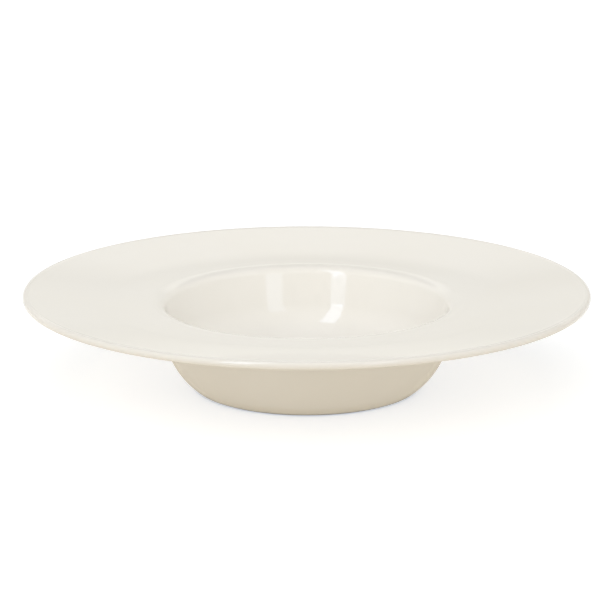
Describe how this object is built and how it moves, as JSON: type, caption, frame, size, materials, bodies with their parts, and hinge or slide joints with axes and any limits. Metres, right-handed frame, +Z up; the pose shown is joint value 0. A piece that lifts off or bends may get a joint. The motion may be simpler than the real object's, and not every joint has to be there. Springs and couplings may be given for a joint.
{
  "type": "pasta bowl",
  "caption": "Round glazed porcelain pasta bowl: a deep central well with a straight wall, a wide gently dished rim with a rounded lip, and a recessed foot ring it stands on.",
  "frame": {"origin": "on the bowl's axis, in the plane of the foot ring's standing face", "axes": "+Z up along the axis of revolution, out of the well; X and Y lie in the table's plane and are alike, because the bowl is round"},
  "size_m": [0.3, 0.3, 0.0536],
  "materials": {
    "biscuit_porcelain": "fired and bare, seen only on the standing face of the foot ring",
    "ivory_glaze": "glossy warm ivory glaze",
    "base_glaze": "glossy warm ivory glaze, as sprayed on the base"
  },
  "bodies": {
    "root": {"porcelain_body": "biscuit_porcelain", "glaze_coat": "ivory_glaze", "base_glaze": "base_glaze"}
  },
  "joints": []
}
